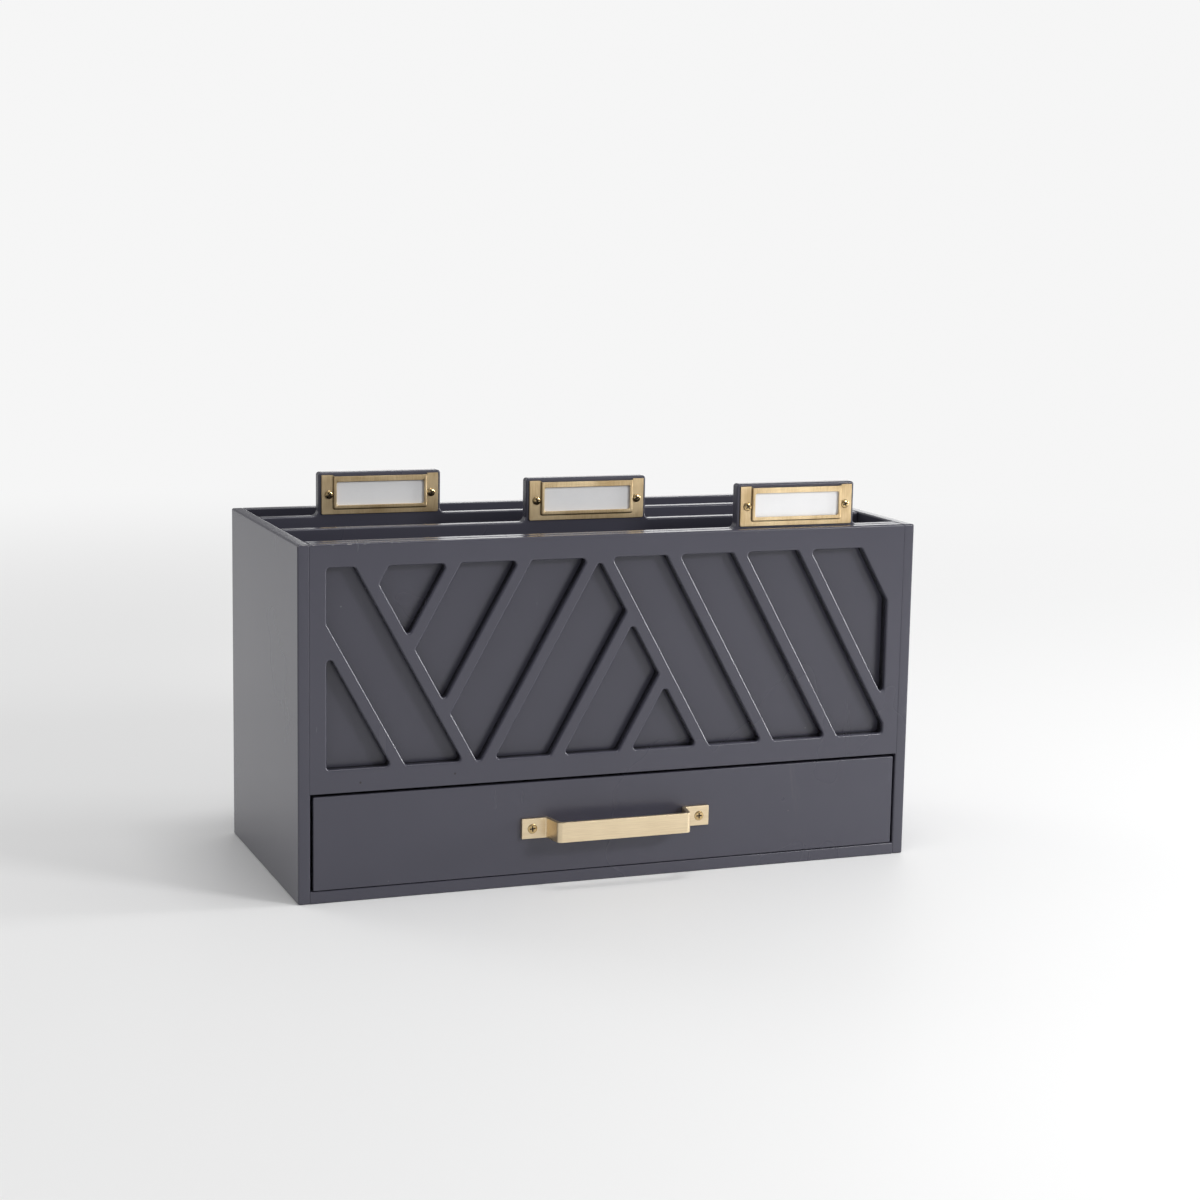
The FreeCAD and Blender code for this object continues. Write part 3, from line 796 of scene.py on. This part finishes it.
def makeHolder(name, node):
    low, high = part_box(node)
    s = holderSizes
    middle, base, back = (low.x + high.x) / 2, low.z, high.y
    steps = s["arcSteps"]
    face, plate = low.y, high.y - s["sheet"]
    frameTop = high.z - s["drop"]

    def corner(cx, cz, radius, start):
        # a quarter turn, counter-clockwise from the start angle
        return [(cx + radius * math.cos(start + step * math.pi / 2 / steps),
                 cz + radius * math.sin(start + step * math.pi / 2 / steps)) for step in range(steps + 1)]

    def ring(half, bottom, radius, top, topRadius):
        # closed, from the top left corner down and round
        turns = [(-half + topRadius, top - topRadius, topRadius, math.pi / 2),
                 (-half + radius, bottom + radius, radius, math.pi),
                 (half - radius, bottom + radius, radius, 1.5 * math.pi),
                 (half - topRadius, top - topRadius, topRadius, 0)]
        return [place for turn in turns for place in corner(*turn)]

    vertices, faces = [], []

    def addRing(places, y):
        start = len(vertices)
        vertices.extend((middle + x, y, base + z) for x, z in places)
        return list(range(start, len(vertices)))

    def bridge(first, second, closed):
        count = len(first)
        for i in range(count if closed else count - 1):
            j = (i + 1) % count
            faces.append([first[i], first[j], second[j], second[i]])

    half, foot, brow, root = s["frameHalf"], s["foot"], s["brow"], s["root"]
    top = frameTop - base
    full = high.z - base
    # half width, bottom, corner radius, top and y, from the frame's face outwards and back
    sideLevels = []
    for step in range(s["browSteps"] + 1):
        turn = step * math.pi / 2 / s["browSteps"]
        sideLevels.append((half - brow + brow * math.sin(turn), foot + brow - brow * math.sin(turn),
                           s["frameCorner"] - brow + brow * math.sin(turn), top,
                           face + brow - brow * math.cos(turn)))
    for step in range(s["rootSteps"] + 1):
        turn = step * math.pi / 2 / s["rootSteps"]
        out = root - root * math.cos(turn)
        sideLevels.append((half + out, foot - out, s["frameCorner"] + out, top,
                           plate - root + root * math.sin(turn)))
    plateHalf = (high.x - low.x) / 2
    sideLevels[-1] = sideLevels[-1][:3] + (full, plate)
    # a ring of points where the painted shade band along the frame's foot ends
    shadeBand = root + s["shadeBand"]
    sideLevels.append((half + shadeBand, foot - shadeBand, s["frameCorner"] + shadeBand, full, plate))
    sideLevels.append((plateHalf, 0.0, s["plateCorner"], full, plate))
    sideLevels.append((plateHalf, 0.0, s["plateCorner"], full, back))
    inside = half - s["sheet"]
    for y in (back, face + s["sheet"]):
        sideLevels.append((inside, foot + s["sheet"], s["innerCorner"], top, y))

    def openPath(level):
        levelHalf, bottom, radius, levelTop, y = level
        places = [(-levelHalf, levelTop)]
        places += corner(-levelHalf + radius, bottom + radius, radius, math.pi)
        places += corner(levelHalf - radius, bottom + radius, radius, 1.5 * math.pi)
        places += [(levelHalf, levelTop)]
        return addRing(places, y)

    paths = [openPath(level) for level in sideLevels]
    for first, second in zip(paths, paths[1:]):
        bridge(first, second, False)

    def closedRing(level):
        levelHalf, bottom, radius, levelTop, y = level
        return addRing(ring(levelHalf, bottom, radius, levelTop, 0.0), y)

    window = ring(half - s["windowSide"], foot + s["windowUnder"], s["windowCorner"],
                  top - s["windowOver"], s["windowCorner"])
    windowFront = addRing(window, face)
    windowBack = addRing(window, face + s["sheet"])
    bridge(closedRing(sideLevels[0]), windowFront, True)
    bridge(windowFront, windowBack, True)
    bridge(windowBack, closedRing(sideLevels[-1]), True)

    holder = meshObject(name, vertices, faces, holderBrass)
    sheet = bmesh.new()
    sheet.from_mesh(holder.data)
    openEdges = [edge for edge in sheet.edges if edge.is_boundary]
    bmesh.ops.holes_fill(sheet, edges=openEdges, sides=0)
    bmesh.ops.recalc_face_normals(sheet, faces=sheet.faces)
    sheet.to_mesh(holder.data)
    left = sum(1 for edge in sheet.edges if not edge.is_manifold)
    sheet.free()
    holder.data.shade_smooth()
    # painted shade: points on the plate just round the frame's foot are marked dark, standing in for the
    # frame's shadow
    paintedShade = holder.data.attributes.new("paintedShade", "FLOAT", "POINT")
    for index, vertex in enumerate(holder.data.vertices):
        # how far the point lies outside the frame's outline, round corners included
        x = abs(vertex.co.x - middle) - (half - s["frameCorner"])
        z = foot + s["frameCorner"] - (vertex.co.z - base)
        outside = (math.hypot(x, z) if x > 0 and z > 0 else max(x, z)) - s["frameCorner"]
        onWall = plate - root - s["snap"] < vertex.co.y < plate + s["snap"]
        if onWall and -s["snap"] < outside < root + s["snap"]:
            paintedShade.data[index].value = s["shadeStrength"]
    print(name, "open edges:", left)
    return mount(soften(holder, s["rim"], 2, 50), "case", "brass", node)


# label cards, lying back against the tab

cardSizes = {"corner": 0.0004, "bow": 0.0001, "thick": 0.00026, "arris": 0.00006, "columns": 14}


def makeCardPiece(name, node, body):
    # a thin card, bowed a little between the frame's sides
    low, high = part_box(node)
    s = cardSizes
    vertices, faces = [], []
    count = s["columns"]
    for column in range(count + 1):
        share = column / count
        x = low.x + (high.x - low.x) * share
        bow = s["bow"] * math.sin(math.pi * share)
        inset = s["corner"] * (1 if column in (0, count) else 0)
        front, back = high.y - bow - s["thick"], high.y - bow
        for y, z in ((front, low.z), (front, high.z - inset), (back, high.z - inset), (back, low.z)):
            vertices.append((x, y, z))
    for column in range(count):
        a, b = column * 4, column * 4 + 4
        faces += [[a + i, a + (i + 1) % 4, b + (i + 1) % 4, b + i] for i in range(4)]
    faces += [[3, 2, 1, 0], [count * 4 + i for i in range(4)]]
    card = meshObject(name, vertices, faces, whiteCard)
    return mount(soften(card, s["arris"], 1, 50), body, "white_card", node)


for place in ("front", "middle", "rear"):
    makeHolder(place + "HolderPlate", place + "_label_holder")
    makeCardPiece(place + "Card", place + "_label_card", place + "_card")
print("label holders made")


# screws: domed heads with a cross recess

screwSizes = {
    "holder": {"radius": 0.00215, "dome": 0.0011, "slotLength": 0.0027, "slotWidth": 0.00066,
               "slotDepth": 0.0007, "shank": 0.0009, "shankLength": 0.004, "seed": 4},
    "pull": {"radius": 0.0025, "dome": 0.0005, "slotLength": 0.0029, "slotWidth": 0.0007,
             "slotDepth": 0.0003, "shank": 0.0012, "shankLength": 0.006, "seed": 9},
    "sunk": 0.00015,         # how deep the pull's screws lie in its feet
    "segments": 36,
    "rings": 22,
    "shankSides": 16,
    "blunt": 0.6,            # 1 is a ball's curve, 0 a flat top
    # painted shade on the heads: in the cross recess by depth, and round the foot of each head
    "recessShadeLimits": (0.06, 0.4),       # depth under the dome, as a share of it
    "footLimits": (0.8, 1.0),        # squared distance from the middle, as a share
    "footShade": 0.7,
    "sharpFrom": 40,
}


def makeScrews(name, places, sizes, body, *nodes):
    # places: points on the surface that the heads lie on
    mesh = bpy.data.meshes.new(name + "Places")
    mesh.from_pydata(places, [], [])
    carrier = bpy.data.objects.new(name + "Places", mesh)
    bpy.context.scene.collection.objects.link(carrier)
    inputs = {
        "Head radius": float(sizes["radius"]),
        "Dome height": float(sizes["dome"]),
        "Slot length": float(sizes["slotLength"]),
        "Slot width": float(sizes["slotWidth"]),
        "Slot depth": float(sizes["slotDepth"]),
        "Shank radius": float(sizes["shank"]),
        "Shank length": float(sizes["shankLength"]),
        "Seed": int(sizes["seed"]),
        "Material": screwBrass,
    }
    bench, source, identifiers = geometryTree(name + "Tree", inputs)
    radius, dome = source.out("Head radius"), source.out("Dome height")

    def point(x, y, z):
        return bench.add("ShaderNodeCombineXYZ", None, x, y, z)

    # the head is a ball pressed flat below, blunted above, then drawn out to its size
    shared = screwSizes
    ball = bench.add("GeometryNodeMeshUVSphere", None, Segments=shared["segments"], Rings=shared["rings"],
                     Radius=1.0)
    axes = bench.add("ShaderNodeSeparateXYZ", None, bench.add("GeometryNodeInputPosition"))
    flat = bench.add("ShaderNodeMath", {"operation": "MAXIMUM"}, axes.out("Z"), 0.0)
    placed = point(axes.out("X") * radius, axes.out("Y") * radius, flat ** shared["blunt"] * dome)
    head = bench.add("GeometryNodeSetPosition", None, ball, Position=placed)
    head = bench.add("GeometryNodeMergeByDistance", {"mode": "ALL"}, head, Distance=weld["drawn"])
    depth = source.out("Slot depth") * 2
    bars = [bench.add("GeometryNodeMeshCube", None, Size=point(*size)) for size in (
        (source.out("Slot length"), source.out("Slot width"), depth),
        (source.out("Slot width"), source.out("Slot length"), depth))]
    cross = bench.add("GeometryNodeMeshBoolean", {"operation": "UNION", "solver": "EXACT"})
    for bar in bars:
        bench.tree.links.new(bar.socket, cross.node.inputs["Mesh 2"])
    cross = bench.add("GeometryNodeTransform", None, cross, Translation=point(0.0, 0.0, dome))
    cut = bench.add("GeometryNodeMeshBoolean", {"operation": "DIFFERENCE", "solver": "EXACT"}, head)
    bench.tree.links.new(cross.socket, cut.node.inputs["Mesh 2"])
    # how far each point lies under the dome, and how near the foot of the head it is: both are painted as
    # shade, in the recess and round the foot
    here = bench.add("ShaderNodeSeparateXYZ", None, bench.add("GeometryNodeInputPosition"))
    across = (here.out("X") * here.out("X") + here.out("Y") * here.out("Y")) / (radius * radius)
    inward = bench.add("ShaderNodeMath", {"operation": "MAXIMUM"}, 1 - across, 0.0)
    surface = inward ** (shared["blunt"] / 2) * dome
    sunk = bench.ramp((surface - here.out("Z")) / dome, *shared["recessShadeLimits"])
    foot = bench.ramp(across, *shared["footLimits"]) * shared["footShade"]
    paintedShade = bench.add("ShaderNodeMath", {"operation": "MAXIMUM"}, sunk, foot)
    cut = bench.add("GeometryNodeStoreNamedAttribute", {"data_type": "FLOAT", "domain": "POINT"}, cut,
                    Name="paintedShade", Value=paintedShade)
    shank = bench.add("GeometryNodeMeshCylinder", None, Vertices=shared["shankSides"],
                      Radius=source.out("Shank radius"), Depth=source.out("Shank length"))
    shank = bench.add("GeometryNodeTransform", None, shank,
                      Translation=point(0.0, 0.0, source.out("Shank length") * -0.5))
    screw = joined(bench, cut, shank)
    # faced to the front, each turned by its own angle
    spin = bench.add("FunctionNodeRandomValue", {"data_type": "FLOAT"}, Min=0.0, Max=math.pi,
                     Seed=source.out("Seed"))
    turn = bench.add("FunctionNodeAxisAngleToRotation", None, (0, 0, 1), spin)
    upright = bench.add("FunctionNodeAxisAngleToRotation", None, (1, 0, 0), math.pi / 2)
    rotation = bench.add("FunctionNodeRotateRotation", {"rotation_space": "LOCAL"}, upright, turn)
    screws = bench.add("GeometryNodeInstanceOnPoints", None, source.out("Geometry"), Instance=screw,
                       Rotation=rotation)
    piece = bakedTree(name, carrier, bench, source, screws, inputs, identifiers)
    keepFlat(piece, 50)
    markSharp(piece.data, screwSizes["sharpFrom"])
    return mount(piece, body, "brass", *nodes)


def headPlaces(node, y):
    # the two screws of one node stand at its ends, at its middle height
    low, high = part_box(node)
    reach = (high.z - low.z) / 2
    middle = (low.z + high.z) / 2
    return [(low.x + reach, y, middle), (high.x - reach, y, middle)]


for place in ("front", "middle", "rear"):
    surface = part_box(place + "_label_holder")[1].y - holderSizes["sheet"]
    makeScrews(place + "HolderScrewHeads", headPlaces(place + "_holder_screws", surface),
               screwSizes["holder"], "case", place + "_holder_screws")
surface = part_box("drawer_front")[0].y - pullSizes["thick"] + screwSizes["sunk"]
makeScrews("pullScrewHeads", headPlaces("pull_screws", surface), screwSizes["pull"], "drawer",
           "pull_screws")
print("screws made")

# pins inside the front rail keep their solids
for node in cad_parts.values():
    if not node.hide_render:
        node.data.materials.clear()
        node.data.materials.append(brightSteel)


# studio

studio = {
    "floorColour": colour(0.85, 0.85, 0.85),
    "floorRoughness": 0.55,
    "floorIor": 1.4,
    "floorReach": 6.0,
    "fadeFrom": 0.45,        # the floor fades into the background from here
    "fadeTo": 1.6,
    "worldLight": 0.5,       # what diffuse rays see
    "reflected": 0.3,        # what mirrored rays see
    "background": 0.92,      # what the camera sees
    "lamps": {
        "key": {"at": (0.76, -0.93, 0.62), "size": (0.28, 0.22), "watts": 6.4},
        "right": {"at": (2.2, -0.34, 0.44), "size": (0.5, 0.5), "watts": 28},
        "behind": {"at": (1.35, 2.0, 0.5), "size": (2.0, 0.6), "watts": 7},
        "leftBehind": {"at": (-1.1, 1.3, 0.8), "size": (0.8, 0.8), "watts": 4.5},
        "above": {"at": (0.1, -0.35, 2.2), "size": (0.9, 0.5), "watts": 13},
    },
    "aim": (0.0, 0.0, 0.08),
}


def seenStraight(bench, rays):
    # 1 for rays from the camera and through glass
    return bench.add("ShaderNodeMath", {"operation": "MAXIMUM"}, rays.out("Is Camera Ray"),
                     rays.out("Is Transmission Ray"))


def makeFloor():
    mesh = bpy.data.meshes.new("studioFloor")
    reach = studio["floorReach"]
    corners = [(-reach, -reach, 0), (reach, -reach, 0), (reach, reach, 0), (-reach, reach, 0)]
    mesh.from_pydata(corners, [], [(0, 1, 2, 3)])
    floor = bpy.data.objects.new("studioFloor", mesh)
    bpy.context.scene.collection.objects.link(floor)
    material, bench, shader, place = newFinish("paleFloor", Base_Color=studio["floorColour"],
                                               Roughness=studio["floorRoughness"], IOR=studio["floorIor"])
    axes = bench.add("ShaderNodeSeparateXYZ", None, place)
    distance = (axes.out("X") * axes.out("X") + axes.out("Y") * axes.out("Y")) ** 0.5
    fade = bench.ramp(distance, studio["fadeFrom"], studio["fadeTo"])
    seen = seenStraight(bench, bench.add("ShaderNodeLightPath"))
    glow = bench.add("ShaderNodeEmission", None, colour(1, 1, 1), studio["background"])
    mixed = bench.add("ShaderNodeMixShader", None, fade * seen, Flow(bench, shader, shader.outputs[0]), glow)
    end = material.node_tree.nodes["Material Output"]
    bench.tree.links.new(mixed.socket, end.inputs["Surface"])
    mesh.materials.append(material)


def makeLamps():
    for name, lamp in studio["lamps"].items():
        light = bpy.data.lights.new(name, "AREA")
        light.shape = "RECTANGLE"
        light.size, light.size_y = lamp["size"]
        light.energy = lamp["watts"]
        holder = bpy.data.objects.new(name, light)
        holder.location = lamp["at"]
        direction = Vector(studio["aim"]) - Vector(lamp["at"])
        holder.rotation_euler = direction.to_track_quat("-Z", "Y").to_euler()
        holder.visible_camera = False
        bpy.context.scene.collection.objects.link(holder)


def makeWorld():
    world = bpy.data.worlds.new("studioWorld")
    world.use_nodes = True
    bpy.context.scene.world = world
    bench = Bench(world.node_tree)
    background = world.node_tree.nodes["Background"]
    background.inputs["Color"].default_value = colour(1, 1, 1)
    rays = bench.add("ShaderNodeLightPath")
    direct = seenStraight(bench, rays) * (studio["background"] - studio["worldLight"])
    mirrored = rays.out("Is Glossy Ray") * (studio["reflected"] - studio["worldLight"])
    bench.feed(background.inputs["Strength"], studio["worldLight"] + direct + mirrored)


cameraSizes = {
    "lens": 73.414,
    "at": (-0.42926, -1.16293, 0.33211),
    "right": (0.93457, -0.35536, 0.01733),
    "up": (0.04155, 0.15741, 0.98666),
    "back": (-0.35335, -0.92138, 0.16188),
}


def makeCamera():
    lens = bpy.data.cameras.new("photoCamera")
    lens.sensor_width = 36
    lens.lens = cameraSizes["lens"]
    lens.clip_start, lens.clip_end = 0.05, 30
    camera = bpy.data.objects.new("photoCamera", lens)
    turn = Matrix((cameraSizes["right"], cameraSizes["up"], cameraSizes["back"])).transposed()
    camera.matrix_world = Matrix.Translation(cameraSizes["at"]) @ turn.to_4x4()
    bpy.context.scene.collection.objects.link(camera)
    bpy.context.scene.camera = camera


makeFloor()
makeLamps()
makeWorld()
makeCamera()
bpy.context.scene.view_settings.view_transform = "Standard"
print("studio made")
